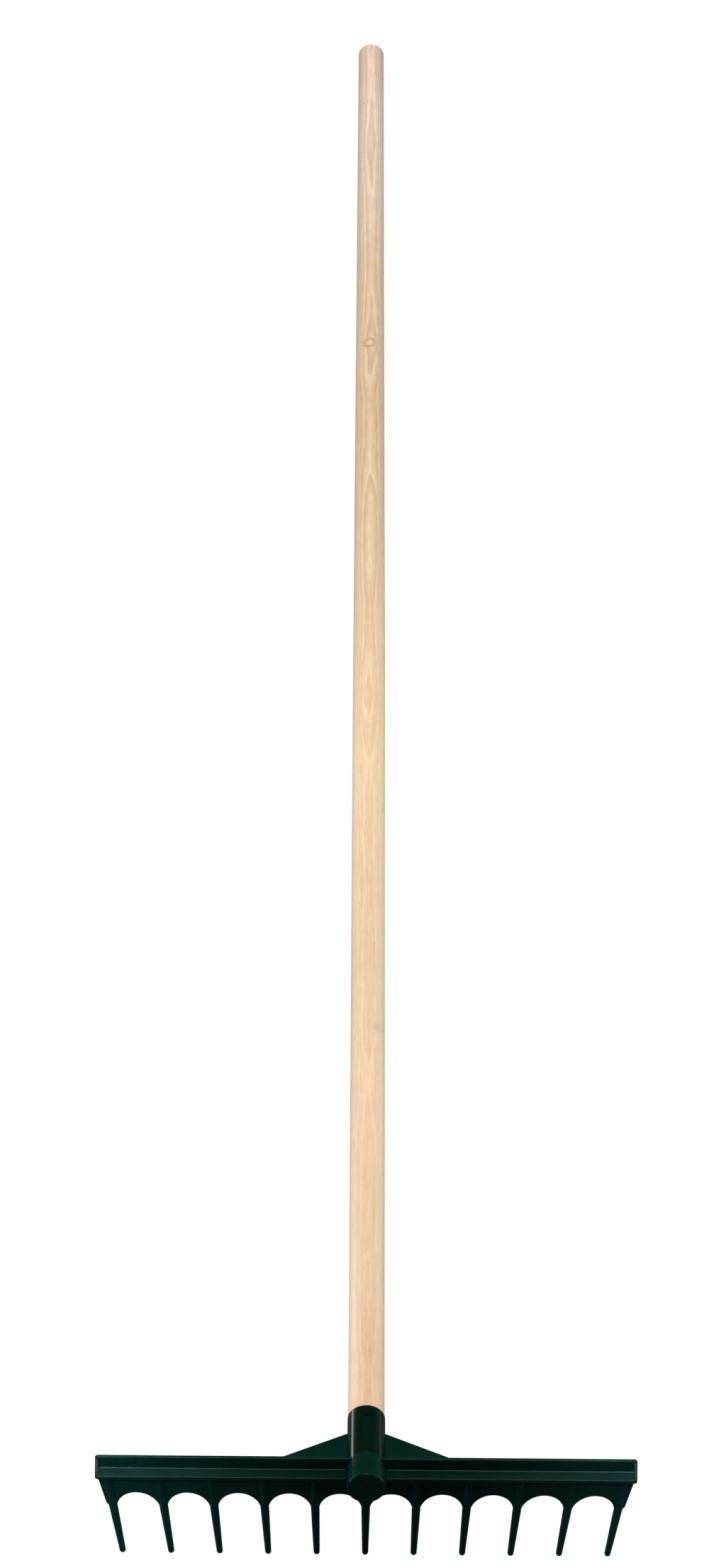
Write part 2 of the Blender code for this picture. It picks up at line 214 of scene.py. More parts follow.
# Marks in the wood, counted from the socket's rim
GROWTH_RINGS = {"Ring Width": 0.0021, "Heart Depth": 0.064, "Heart Side": -0.004,
                "Wander": 0.0085}
ROUND_KNOT = {"Centre": (-0.0008, 1.299, 0.0), "Radius": 0.0044}
PIN_KNOT = {"Centre": (0.0022, 1.076, 0.0), "Radius": 0.0022}
STAIN = {"Centre": (0.0074, 0.410, 0.0), "Radius": 0.0042}
SPECK = {"Centre": (-0.0065, 1.672, 0.0), "Radius": 0.0008}
# Patch over the pilot hole, darkened as a painted shade
HOLE_SHADE_PATCH = {"Centre": (0.0, SCREW_HOLE_Y - SOCKET_LENGTH, 0.0), "Radius": 0.0022}

# Looks of the pores and marks: strength and colour
PORE_LOOK = (0.30, (0.42, 0.27, 0.16, 1.0))
KNOT_HEART_LOOK = (0.18, (0.55, 0.36, 0.22, 1.0))
STAIN_LOOK = (0.40, (0.40, 0.31, 0.25, 1.0))
SPECK_LOOK = (0.50, (0.16, 0.09, 0.05, 1.0))
# Near-black painted shade inside the pilot hole
HOLE_SHADE_LOOK = (0.95, (0.03, 0.02, 0.012, 1.0))
KNOT_OUTLINE_COLOUR = (0.36, 0.23, 0.13, 1.0)
ROUND_KNOT_OUTLINE = 0.92
PIN_KNOT_OUTLINE = 0.75

# Floor, and the weak bluish light that the air gives; the camera sees both as white
FLOOR_SIZE = 40.0
FLOOR_COLOUR = (0.10, 0.10, 0.10, 1.0)
FLOOR_GLOW = 0.94
AIR_COLOUR = (0.36, 0.62, 1.0, 1.0)
AIR_STRENGTH = 0.065
WHITE = (1.0, 1.0, 1.0, 1.0)

# Camera, in the head's frame: angles in degrees, lens in millimetres
CAMERA_PLACE = (-0.0227, -3.5562, 3.4073)
CAMERA_PITCH = 38.255
CAMERA_YAW = 0.156
CAMERA_ROLL = 0.598
CAMERA_LENS = 162.748
CAMERA_SENSOR = 36.0

# The head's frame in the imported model, from the joint on the socket's rim
slide = frame["joints"][0]
rim_place = Vector(slide["pos_m"])
handle_dip = math.atan2(-slide["axis"][2], slide["axis"][1])
head_frame = (Matrix.Translation(rim_place) @ Matrix.Rotation(-handle_dip, 4, "X")
              @ Matrix.Translation((0.0, -SOCKET_LENGTH, 0.0)))


# Drawing pieces by hand

def deselect_all():
    bpy.ops.object.select_all(action="DESELECT")


def make_active(piece):
    deselect_all()
    piece.select_set(True)
    bpy.context.view_layer.objects.active = piece


def open_new_piece(name):
    """Names the primitive that was just added, fixes its place in its mesh and opens it."""
    piece = bpy.context.object
    piece.name = name
    piece.data.name = name
    bpy.ops.object.transform_apply(location=True, rotation=True, scale=True)
    bpy.ops.object.mode_set(mode="EDIT")
    return piece


def start_block(name, low, high):
    """A block between two corners, left open in edit mode."""
    deselect_all()
    centre = [(a + b) / 2 for a, b in zip(low, high)]
    size = [b - a for a, b in zip(low, high)]
    bpy.ops.mesh.primitive_cube_add(size=1.0, location=centre, scale=size)
    return open_new_piece(name)


def pick_edges(piece, test):
    """Selects only the edges whose two ends pass the test."""
    bpy.ops.mesh.select_mode(type="EDGE")
    bpy.ops.mesh.select_all(action="DESELECT")
    shape = bmesh.from_edit_mesh(piece.data)
    for edge in shape.edges:
        if test(edge.verts[0].co, edge.verts[1].co):
            edge.select_set(True)
    bmesh.update_edit_mesh(piece.data)


def pick_faces(piece, test):
    """Selects only the faces whose middle and normal pass the test."""
    bpy.ops.mesh.select_mode(type="FACE")
    bpy.ops.mesh.select_all(action="DESELECT")
    shape = bmesh.from_edit_mesh(piece.data)
    for face in shape.faces:
        if test(face.calc_center_median(), face.normal):
            face.select_set(True)
    bmesh.update_edit_mesh(piece.data)


def cut_off(point, outward):
    """Cuts away all that lies outside a plane and closes the cut."""
    bpy.ops.mesh.select_all(action="SELECT")
    bpy.ops.mesh.bisect(plane_co=point, plane_no=Vector(outward).normalized(), use_fill=True,
                        clear_outer=True, threshold=CUT_TOLERANCE)


def leave_edit():
    bpy.ops.mesh.select_all(action="SELECT")
    bpy.ops.mesh.normals_make_consistent(inside=False)
    bpy.ops.object.mode_set(mode="OBJECT")


def apply_modifier(piece, modifier):
    make_active(piece)
    bpy.ops.object.modifier_apply(modifier=modifier.name)


def round_thin_edges(piece):
    modifier = piece.modifiers.new("edge_rounding", "BEVEL")
    modifier.width = THIN_EDGE_RADIUS
    modifier.segments = 3
    modifier.limit_method = "ANGLE"
    modifier.angle_limit = math.radians(ROUNDED_ANGLE)
    apply_modifier(piece, modifier)


def cut_with(piece, cutter):
    """Takes the cutter's shape out of the piece and removes the cutter."""
    modifier = piece.modifiers.new("cut", "BOOLEAN")
    modifier.operation = "DIFFERENCE"
    modifier.solver = "EXACT"
    modifier.object = cutter
    apply_modifier(piece, modifier)
    bpy.data.objects.remove(cutter, do_unlink=True)


def turn_by_hand(name, stations, segments, along, ring=False):
    """A turned piece: a disc whose rim is drawn out and resized from station to station.

    A station is a place on the piece's own axis, Y or Z, and a radius there. The last circle
    closes in one point on the axis, or on a ring it meets the first circle.
    """
    deselect_all()
    first_place, first_radius = stations[0]
    axis = Vector((0.0, 1.0, 0.0)) if along == "Y" else Vector((0.0, 0.0, 1.0))
    turn = (math.pi / 2, 0.0, 0.0) if along == "Y" else (0.0, 0.0, 0.0)
    bpy.ops.mesh.primitive_circle_add(vertices=segments, radius=first_radius,
                                      fill_type="NOTHING" if ring else "TRIFAN",
                                      location=axis * first_place, rotation=turn)
    piece = open_new_piece(name)
    bpy.ops.mesh.select_mode(type="EDGE")
    bpy.ops.mesh.select_all(action="SELECT")
    if not ring:
        bpy.ops.mesh.region_to_loop()
    for (place, radius), (next_place, next_radius) in zip(stations, stations[1:]):
        step = axis * (next_place - place)
        bpy.ops.mesh.extrude_region_move(TRANSFORM_OT_translate={"value": step})
        scale = [1.0 if part else next_radius / radius for part in axis]
        bpy.ops.transform.resize(value=scale, center_override=axis * next_place)
    if ring:
        bpy.ops.mesh.select_all(action="DESELECT")
        bpy.ops.mesh.select_non_manifold()
        bpy.ops.mesh.bridge_edge_loops()
    else:
        bpy.ops.mesh.extrude_region_move(TRANSFORM_OT_translate={"value": (0.0, 0.0, 0.0)})
        bpy.ops.mesh.merge(type="CENTER")
    leave_edit()
    return piece


def rounding(place, radius, size, start, end, steps):
    """Stations along a round edge, centred at a place and radius; angles in degrees, 0 outward."""
    stations = []
    for i in range(steps + 1):
        angle = math.radians(start + (end - start) * i / steps)
        stations.append((place + size * math.sin(angle), radius + size * math.cos(angle)))
    return stations


def finish_piece(piece, body, material):
    """Smooths a drawn piece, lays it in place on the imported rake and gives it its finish."""
    make_active(piece)
    bpy.ops.object.shade_smooth_by_angle(angle=math.radians(SMOOTH_ANGLE))
    modifier = piece.modifiers.new("even_shading", "WEIGHTED_NORMAL")
    modifier.keep_sharp = True
    apply_modifier(piece, modifier)
    piece.matrix_world = head_frame
    bpy.ops.object.transform_apply(location=True, rotation=True, scale=True)
    piece.data.materials.clear()
    piece.data.materials.append(material)
    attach(piece, body)
    return piece


# The head's pieces

def draw_boss():
    """The closed boss in front of the comb: marked face, round edge, and the bore's blind end."""
    face_floor = FACE_SINK - BOSS_LENGTH
    stations = [(face_floor - height, radius) for height, radius in GATE_MARK + FACE_RING + FACE_LIP]
    stations += rounding(BOSS_EDGE_RADIUS - BOSS_LENGTH, BOSS_RADIUS - BOSS_EDGE_RADIUS,
                         BOSS_EDGE_RADIUS, -90, 0, 7)
    stations += PARTING_LINE
    stations.append((COLLAR_BACK - COLLAR_EDGE_START, COLLAR_RADIUS))
    stations += rounding(COLLAR_BACK - COLLAR_EDGE_RADIUS, COLLAR_RADIUS - COLLAR_EDGE_RADIUS,
                         COLLAR_EDGE_RADIUS, 0, 90, 3)
    stations += [(COLLAR_BACK, COLLAR_BACK_RING_RADIUS), (COLLAR_BACK, BORE_COLLAR_RADIUS),
                 (BORE_TAPER_END_Y, BORE_END_RADIUS),
                 (BORE_END_Y + BORE_END_CHAMFER, BORE_END_RADIUS),
                 (BORE_END_Y, BORE_END_RADIUS - BORE_END_CHAMFER)]
    return turn_by_hand("socket_boss", stations, SOCKET_SEGMENTS, "Y")


def draw_sleeve():
    """The open sleeve behind the comb: a tube around the tenon, with the empty screw hole."""
    front = COLLAR_BACK - SLEEVE_LAP
    stations = [(front, SLEEVE_FRONT_RADIUS)]
    stations += rounding(SOCKET_LENGTH - RIM_EDGE_RADIUS, RIM_RADIUS - RIM_EDGE_RADIUS,
                         RIM_EDGE_RADIUS, 0, 90, 5)
    stations += rounding(SOCKET_LENGTH - MOUTH_EDGE_RADIUS, BORE_MOUTH_RADIUS + MOUTH_EDGE_RADIUS,
                         MOUTH_EDGE_RADIUS, 90, 180, 4)
    stations.append((front, BORE_SLEEVE_RADIUS))
    piece = turn_by_hand("socket_sleeve", stations, SOCKET_SEGMENTS, "Y", ring=True)

    mouth = [(SCREW_HOLE_TOP + height, SCREW_HOLE_RADIUS + growth)
             for height, growth in SCREW_HOLE_MOUTH]
    past = (SCREW_HOLE_TOP + HOLE_CUTTER_PAST, mouth[-1][1])
    cutter = turn_by_hand("screw_hole_cutter", [(0.0, SCREW_HOLE_RADIUS), *mouth, past],
                          SCREW_HOLE_SEGMENTS, "Z")
    cutter.location = (0.0, SCREW_HOLE_Y, 0.0)
    cut_with(piece, cutter)
    return piece


def draw_plate():
    """The comb plate: a block with round corners and edges, slanted ends and ten arches."""
    piece = start_block("comb_plate", (-COMB_HALF_WIDTH, 0.0, ARCH_FOOT_LEVEL),
                        (COMB_HALF_WIDTH, PLATE_THICKNESS, PLATE_TOP))

    def top_corner(a, b):
        return min(a.z, b.z) > PLATE_TOP - NEAR and abs(a.x - b.x) < NEAR

    def outline(a, b):
        return abs(a.y - b.y) < TOUCHING and max(a.z, b.z) > ARCH_FOOT_LEVEL + AROUND

    pick_edges(piece, top_corner)
    bpy.ops.mesh.bevel(offset=PLATE_CORNER_RADIUS, segments=8, affect="EDGES")
    for side in (-1, 1):
        for (x0, z0), (x1, z1) in zip(PLATE_END_LINE, PLATE_END_LINE[1:]):
            cut_off((side * x0, 0.0, z0), (side * (z0 - z1), 0.0, x1 - x0))
    pick_edges(piece, outline)
    bpy.ops.mesh.bevel(offset=EDGE_RADIUS, segments=4, affect="EDGES")
    leave_edit()
    cut_arches(piece)
    return piece


def cut_arches(plate):
    """Cuts the half-oval arches between the tines, flared at both faces to round their edges."""
    flared = ARCH_HEIGHT + EDGE_RADIUS
    front_centre = TOUCHING - EDGE_RADIUS
    back_centre = PLATE_THICKNESS + TOUCHING - EDGE_RADIUS
    front_edge = rounding(front_centre, flared, EDGE_RADIUS, 90, 180, 4)
    stations = [(-CUTTER_PAST, flared)] + [(-place, radius) for place, radius in front_edge]
    stations += rounding(back_centre, flared, EDGE_RADIUS, 180, 90, 4)
    stations.append((PLATE_THICKNESS + CUTTER_PAST, flared))
    for i in range(TINE_COUNT - 1):
        gap = i + 0.5 - (TINE_COUNT - 1) / 2
        arch = turn_by_hand("arch_cutter", stations, ARCH_SEGMENTS, "Y")
        fan = Matrix.Diagonal((ARCH_HALF_WIDTH / ARCH_HEIGHT, 1.0, 1.0, 1.0))
        fan[0][2] = gap * TINE_FAN
        arch.data.transform(Matrix.Translation((gap * TINE_PITCH, 0.0, ARCH_FOOT_LEVEL)) @ fan)
        cut_with(plate, arch)


def draw_ledge(side, word):
    """One half of the ledge along the plate's front: rounded outside, hollow at the plate."""
    inner = side * LEDGE_INNER_X
    outer = side * (COMB_HALF_WIDTH - LEDGE_END_INSET)
    back = PLATE_THICKNESS / 2
    piece = start_block("front_ledge_" + word, (min(inner, outer), -LEDGE_DEPTH, LEDGE_BOTTOM),
                        (max(inner, outer), back, LEDGE_TOP))

    def outer_corner(a, b):
        at_front = max(a.y, b.y) < NEAR - LEDGE_DEPTH
        return at_front and min(side * a.x, side * b.x) > COMB_HALF_WIDTH - AROUND

    def outline(a, b):
        level = abs(a.z - b.z) < TOUCHING and min(a.y, b.y) < back - NEAR
        at_inner_end = max(abs(a.x - inner), abs(b.x - inner)) < TOUCHING
        return level or (at_inner_end and max(a.y, b.y) < NEAR - LEDGE_DEPTH)

    def joint_line(a, b):
        off_plane = max(abs(a.y - JOINT_LINE_SINK), abs(b.y - JOINT_LINE_SINK))
        return max(off_plane, abs(a.z - LEDGE_TOP), abs(b.z - LEDGE_TOP)) < ON_LINE

    pick_edges(piece, outer_corner)
    bpy.ops.mesh.bevel(offset=LEDGE_CORNER_RADIUS, segments=10, affect="EDGES")
    pick_edges(piece, outline)
    bpy.ops.mesh.bevel(offset=EDGE_RADIUS, segments=4, affect="EDGES")
    bpy.ops.mesh.select_all(action="SELECT")
    bpy.ops.mesh.bisect(plane_co=(0.0, JOINT_LINE_SINK, 0.0), plane_no=(0.0, 1.0, 0.0),
                        threshold=CUT_TOLERANCE)
    pick_faces(piece, lambda middle, normal: normal.z > 0.99 and middle.y > JOINT_LINE_SINK)
    rise = (0.0, 0.0, LEDGE_HOLLOW + JOINT_LINE_SINK)
    bpy.ops.mesh.extrude_region_move(TRANSFORM_OT_translate={"value": rise})
    pick_edges(piece, joint_line)
    bpy.ops.mesh.bevel(offset=LEDGE_HOLLOW, segments=6, affect="EDGES")
    leave_edit()
    return piece


def draw_end_wall(side, word):
    """The small wall that closes the comb's end: it slopes from the plate's top to the ledge."""
    inner, outer = sorted((side * (COMB_HALF_WIDTH - END_WALL_THICKNESS), side * COMB_HALF_WIDTH))
    wall_front = LEDGE_CORNER_RADIUS - LEDGE_DEPTH
    wall_top = PLATE_TOP - PLATE_CORNER_RADIUS
    middle = (LEDGE_TOP + LEDGE_BOTTOM) / 2
    piece = start_block("end_wall_" + word, (inner, wall_front, middle),
                        (outer, PLATE_THICKNESS / 2, wall_top))
    cut_off((0.0, wall_front, LEDGE_TOP), (0.0, LEDGE_TOP - wall_top, -wall_front))
    leave_edit()
    round_thin_edges(piece)
    return piece


def draw_gusset(side, word):
    """The flat triangle between the back of the plate and the socket's side."""
    inner, outer = sorted((side * (GUSSET_ROOT_X - GUSSET_SINK), side * (GUSSET_SPREAD + BLOCK_PAST)))
    piece = start_block("gusset_" + word, (inner, PLATE_THICKNESS / 2, LEDGE_BOTTOM),
                        (outer, GUSSET_REACH, LEDGE_TOP))
    run = GUSSET_REACH - PLATE_THICKNESS
    spread = GUSSET_SPREAD - GUSSET_ROOT_X
    cut_off((side * GUSSET_SPREAD, PLATE_THICKNESS, 0.0), (side * run, spread, 0.0))
    leave_edit()
    round_thin_edges(piece)
    return piece


def draw_tines():
    """Eleven round tapered tines, half sunk in the plate as ribs, fanned in towards their tips."""
    stations = [*TINE_TOP, (ARCH_FOOT_LEVEL, TINE_ROOT_RADIUS), (TINE_TIP_LEVEL, TINE_TIP_RADIUS)]
    round_tip = rounding(TINE_TIP_LEVEL, 0.0, TINE_TIP_RADIUS, 0, -90, 8)
    stations += round_tip[1:-1]
    tines = [turn_by_hand("tine_01", stations, TINE_SEGMENTS, "Z")]
    for number in range(2, TINE_COUNT + 1):
        make_active(tines[0])
        bpy.ops.object.duplicate(linked=False)
        copy = bpy.context.object
        copy.name = "tine_%02d" % number
        copy.data.name = copy.name
        tines.append(copy)
    for i, tine in enumerate(tines):
        place = i - (TINE_COUNT - 1) / 2
        pivot = Matrix.Translation((place * TINE_PITCH, PLATE_THICKNESS / 2, ARCH_FOOT_LEVEL))
        swing = Matrix.Rotation(math.atan(place * TINE_FAN), 4, "Y")
        tine.matrix_world = pivot @ swing @ Matrix.Translation((0.0, 0.0, -ARCH_FOOT_LEVEL))
        make_active(tine)
        bpy.ops.object.transform_apply(location=True, rotation=True, scale=True)
    return tines


def draw_handle():
    """The turned pole with its shoulder and tapered tenon, and the pilot hole in the tenon."""
    rim = SOCKET_LENGTH
    stations = rounding(rim - TENON_LENGTH + TENON_TIP_EDGE_RADIUS,
                        TENON_TIP_RADIUS - TENON_TIP_EDGE_RADIUS, TENON_TIP_EDGE_RADIUS, -90, 0, 4)
    stations += [(rim + place, TENON_MOUTH_RADIUS + growth) for place, growth in TENON_FILLET]
    stations += rounding(rim + SHOULDER_GAP + SHOULDER_EDGE_RADIUS,
                         HANDLE_RADIUS - SHOULDER_EDGE_RADIUS, SHOULDER_EDGE_RADIUS, -90, 0, 4)
    for i in range(1, HANDLE_STEPS + 1):
        stations.append((rim + HANDLE_STRAIGHT * i / HANDLE_STEPS, HANDLE_RADIUS))
    end = HANDLE_REACH - HANDLE_END_EDGE_RADIUS
    for i in range(1, HANDLE_STEPS + 1):
        share = i / HANDLE_STEPS
        stations.append((rim + HANDLE_STRAIGHT + (end - HANDLE_STRAIGHT) * share,
                         HANDLE_RADIUS + (HANDLE_FAR_RADIUS - HANDLE_RADIUS) * share))
    stations += rounding(rim + end, HANDLE_FAR_RADIUS - HANDLE_END_EDGE_RADIUS,
                         HANDLE_END_EDGE_RADIUS, 0, 90, 5)[1:]
    piece = turn_by_hand("handle_pole", stations, HANDLE_SEGMENTS, "Y")

    hole = [(PILOT_HOLE_BOTTOM, PILOT_HOLE_RADIUS),
            (TENON_MOUTH_RADIUS + HOLE_CUTTER_PAST, PILOT_HOLE_RADIUS)]
    cutter = turn_by_hand("pilot_hole_cutter", hole, PILOT_HOLE_SEGMENTS, "Z")
    cutter.location = (0.0, SCREW_HOLE_Y, 0.0)
    cut_with(piece, cutter)
    return piece


# Building finishes from nodes

def fill_sockets(tree, node, inputs):
    """Fills a node's sockets from values or from other nodes."""
    for name, value in inputs.items():
        if isinstance(value, bpy.types.NodeSocket):
            tree.links.new(value, node.inputs[name])
        else:
            node.inputs[name].default_value = value


def add(tree, kind, inputs=None, **settings):
    """One node, with its settings and its filled sockets."""
    node = tree.nodes.new(kind)
    for name, value in settings.items():
        setattr(node, name, value)
    fill_sockets(tree, node, inputs or {})
    return node


def calc(tree, operation, *values, clamp=False):
    node = add(tree, "ShaderNodeMath", dict(enumerate(values)), operation=operation, use_clamp=clamp)
    return node.outputs[0]


def product(tree, first, second):
    return calc(tree, "MULTIPLY", first, second)


def vector_calc(tree, operation, first, second):
    node = add(tree, "ShaderNodeVectorMath", {0: first, 1: second}, operation=operation)
    return node.outputs[0]


def enlarge(tree, vector, times):
    node = add(tree, "ShaderNodeVectorMath", {0: vector, 3: times}, operation="SCALE")
    return node.outputs[0]


def split(tree, vector):
    return add(tree, "ShaderNodeSeparateXYZ", {0: vector}).outputs


def bell(tree, value, sharpness):
    """One where the value is zero, falling off on both sides."""
    return calc(tree, "EXPONENT", product(tree, product(tree, value, value), -sharpness))


def noise(tree, place, per_metre, detail=2.0, roughness=0.5, distortion=0.0):
    """Smooth noise with about this many features per metre along x, y and z."""
    node = add(tree, "ShaderNodeTexNoise",
               {"Vector": vector_calc(tree, "MULTIPLY", place, per_metre), "Scale": 1.0,
                "Detail": detail, "Roughness": roughness, "Distortion": distortion})
    return node.outputs["Fac"]


def remap(tree, value, low, high, new_low=0.0, new_high=1.0, smooth=False):
    node = add(tree, "ShaderNodeMapRange",
               {"Value": value, "From Min": low, "From Max": high, "To Min": new_low,
                "To Max": new_high},
               interpolation_type="SMOOTHSTEP" if smooth else "LINEAR")
    return node.outputs["Result"]


def mix(tree, factor, first, second, blend_type="MIX"):
    """Mixes two colours."""
    node = add(tree, "ShaderNodeMix", {0: factor, 6: first, 7: second}, data_type="RGBA",
               blend_type=blend_type)
    return node.outputs[2]


def tint(tree, factor, colour, times):
    """Multiplies a colour, as strongly as the factor says."""
    return mix(tree, factor, colour, (*times, 1.0), "MULTIPLY")


def ramp(tree, factor, stops):
    node = add(tree, "ShaderNodeValToRGB", {"Fac": factor})
    points = node.color_ramp.elements
    while len(points) < len(stops):
        points.new(0.5)
    for point, (place, colour) in zip(points, stops):
        point.position = place
        point.color = (*colour, 1.0)
    return node.outputs["Color"]


def new_group(name, inputs, outputs):
    tree = bpy.data.node_groups.new(name, "ShaderNodeTree")
    for direction, sockets in (("INPUT", inputs), ("OUTPUT", outputs)):
        for socket_name, kind in sockets:
            tree.interface.new_socket(name=socket_name, in_out=direction,
                                      socket_type="NodeSocket" + kind)
    return tree, add(tree, "NodeGroupInput").outputs, add(tree, "NodeGroupOutput").inputs


def place_group(tree, group, inputs):
    node = tree.nodes.new("ShaderNodeGroup")
    node.node_tree = group
    fill_sockets(tree, node, inputs)
    return node.outputs


# Shared effects

def make_growth_rings():
    """Where a point lies within its growth ring, for a pole cut beside the heart of the tree."""
    tree, given, result = new_group(
        "wood_growth_rings",
        [("Position", "Vector"), ("Ring Width", "Float"), ("Heart Depth", "Float"),
         ("Heart Side", "Float"), ("Wander", "Float"), ("Push", "Float")],
        [("Ring", "Float"), ("Own Tone", "Float")])
    ridge_height = 0.09
    quick_share = 0.09
    place = split(tree, given["Position"])
    beside = calc(tree, "SUBTRACT", place["X"], given["Heart Side"])
    deep = calc(tree, "ADD", place["Z"], given["Heart Depth"])
    squares = calc(tree, "ADD", product(tree, beside, beside), product(tree, deep, deep))
    radius = calc(tree, "SQRT", squares)

    slow = calc(tree, "SUBTRACT", noise(tree, given["Position"], (22.0, 6.0, 22.0)), 0.5)
    quick = calc(tree, "SUBTRACT", noise(tree, given["Position"], (120.0, 22.0, 120.0)), 0.5)
    wander = calc(tree, "ADD", slow, product(tree, quick, quick_share))
    radius = calc(tree, "ADD", radius, product(tree, wander, given["Wander"]))
    radius = calc(tree, "ADD", radius, given["Push"])
    ridge = product(tree, calc(tree, "ABSOLUTE", place["X"]), ridge_height)
    radius = calc(tree, "SUBTRACT", radius, ridge)

    count = calc(tree, "DIVIDE", radius, given["Ring Width"])
    tree.links.new(calc(tree, "FRACT", count), result["Ring"])
    own = add(tree, "ShaderNodeTexWhiteNoise", {"W": calc(tree, "FLOOR", count)},
              noise_dimensions="1D")
    tree.links.new(own.outputs["Value"], result["Own Tone"])
    return tree


def make_knot():
    """A small knot on the pole's top: its heart, its dark outline and its push on the grain."""
    tree, given, result = new_group(
        "wood_knot", [("Position", "Vector"), ("Centre", "Vector"), ("Radius", "Float")],
        [("Push", "Float"), ("Heart", "Float"), ("Outline", "Float")])
    oval = (1.0, 0.75, 0.0)
    push_depth = 0.0011
    outline_place = 0.95
    away = vector_calc(tree, "SUBTRACT", given["Position"], given["Centre"])
    flat = vector_calc(tree, "MULTIPLY", away, oval)
    rough = noise(tree, given["Position"], (420.0, 260.0, 420.0), detail=3.0)
    length = add(tree, "ShaderNodeVectorMath", {0: flat}, operation="LENGTH").outputs["Value"]
    distance = calc(tree, "ADD", calc(tree, "DIVIDE", length, given["Radius"]),
                    remap(tree, rough, 0.2, 0.8, -0.35, 0.35))

    tree.links.new(product(tree, bell(tree, distance, 0.30), push_depth), result["Push"])
    tree.links.new(remap(tree, distance, 1.15, 0.55, smooth=True), result["Heart"])
    edge = bell(tree, calc(tree, "SUBTRACT", distance, outline_place), 11.0)
    broken = remap(tree, noise(tree, given["Position"], (210.0, 150.0, 210.0)), 0.36, 0.56)
    tree.links.new(product(tree, edge, broken), result["Outline"])
    return tree


def make_fibres():
    """Streaks, mottle, fine fibres and open pores that run along the pole."""
    tree, given, result = new_group(
        "wood_fibres", [("Position", "Vector"), ("Fineness", "Float")],
        [("Streaks", "Float"), ("Mottle", "Float"), ("Fibres", "Float"), ("Pores", "Float")])
    place = enlarge(tree, given["Position"], given["Fineness"])
    streaks = noise(tree, place, (900.0, 4.5, 900.0), detail=3.0, roughness=0.6)
    mottle = noise(tree, place, (380.0, 62.0, 380.0), detail=4.0, roughness=0.65)
    fibres = noise(tree, place, (2400.0, 45.0, 2400.0), detail=3.0, roughness=0.6)
    pores = noise(tree, place, (3800.0, 190.0, 3800.0), detail=1.0)
    tree.links.new(streaks, result["Streaks"])
    tree.links.new(remap(tree, mottle, 0.38, 0.62), result["Mottle"])
    tree.links.new(fibres, result["Fibres"])
    tree.links.new(remap(tree, pores, 0.66, 0.78), result["Pores"])
    return tree


def make_handling():
    """Faint uneven marks from hands, sand and storage, used on both the wood and the plastic."""
    tree, given, result = new_group("handling_marks", [("Position", "Vector"), ("Size", "Float")],
                                    [("Smudges", "Float"), ("Scuffs", "Float")])
    place = enlarge(tree, given["Position"], given["Size"])
    smudges = noise(tree, place, (45.0, 20.0, 45.0), detail=4.0, roughness=0.6)
    scuffs = noise(tree, place, (700.0, 160.0, 700.0), detail=4.0, roughness=0.7, distortion=0.6)
    tree.links.new(smudges, result["Smudges"])
    tree.links.new(remap(tree, scuffs, 0.60, 0.72, smooth=True), result["Scuffs"])
    return tree


def make_mould_texture():
    """The fine even grain that a mould leaves on plastic, and slow clouds in its colour."""
    tree, given, result = new_group("moulded_texture", [("Position", "Vector")],
                                    [("Grain", "Float"), ("Cloud", "Float")])
    grain = noise(tree, given["Position"], (3200.0, 3200.0, 3200.0))
    cloud = noise(tree, given["Position"], (60.0, 60.0, 60.0), detail=3.0)
    tree.links.new(grain, result["Grain"])
    tree.links.new(cloud, result["Cloud"])
    return tree


# Materials

def new_material(name, specular):
    material = bpy.data.materials.new(name)
    material.use_nodes = True
    tree = material.node_tree
    shader = tree.nodes["Principled BSDF"]
    shader.inputs["Specular IOR Level"].default_value = specular
    return material, tree, shader


def rake_position(tree, y_start):
    """Places on the rake, in metres in the head's frame, with y counted from the given place."""
    start = head_frame @ Vector((0.0, y_start, 0.0))
    coordinates = add(tree, "ShaderNodeTexCoord").outputs["Object"]
    node = add(tree, "ShaderNodeMapping", {"Vector": coordinates, "Location": start,
                                           "Rotation": (-handle_dip, 0.0, 0.0)},
               vector_type="TEXTURE")
    return node.outputs[0]


def link_bump(tree, shader, height, strength, distance):
    bump = add(tree, "ShaderNodeBump", {"Height": height, "Strength": strength,
                                        "Distance": distance})
    tree.links.new(bump.outputs[0], shader.inputs["Normal"])


def wood_tone(tree, place):
    """The pole's plain tone: it changes along the pole and is rosier down its right side."""
    tone = ramp(tree, calc(tree, "DIVIDE", place["Y"], HANDLE_REACH), WOOD_TONES)
    right_side = remap(tree, place["X"], 0.003, 0.011, smooth=True)
    far_part = remap(tree, place["Y"], 0.9, 1.5, 0.25, 1.0)
    return tint(tree, product(tree, right_side, far_part), tone, ROSY_TINT)


def ringed_wood(tree, place, tone, ring):
    """Pale and dark bands of the growth rings, plainer near the head and down the sides."""
    stops = [(share, (paleness, paleness, paleness)) for share, paleness in RING_PALENESS]
    pale = mix(tree, OWN_TONE_SHARE, ramp(tree, ring["Ring"], stops), ring["Own Tone"])
    beside = calc(tree, "ABSOLUTE", place["X"])
    contrast = product(tree, remap(tree, place["Y"], 0.70, 1.10, 0.35, 1.0),
                       remap(tree, beside, 0.0045, 0.0095, 1.0, 0.30, smooth=True))
    banded = mix(tree, pale, tint(tree, 1.0, tone, DARK_RING_TINT),
                 tint(tree, 1.0, tone, PALE_RING_TINT))
    return mix(tree, contrast, tone, banded)


def fibred_wood(tree, colour, fibre):
    """Long streaks, mottle, fine fibres and open pores over the rings."""
    long_streaks = remap(tree, fibre["Streaks"], 0.3, 0.7)
    fine_fibres = remap(tree, fibre["Fibres"], 0.25, 0.75)
    for mask, (strength, times) in ((long_streaks, STREAKS), (fibre["Mottle"], MOTTLE),
                                    (fine_fibres, FIBRES)):
        colour = tint(tree, product(tree, mask, strength), colour, times)
    strength, pore_colour = PORE_LOOK
    return mix(tree, product(tree, fibre["Pores"], strength), colour, pore_colour)


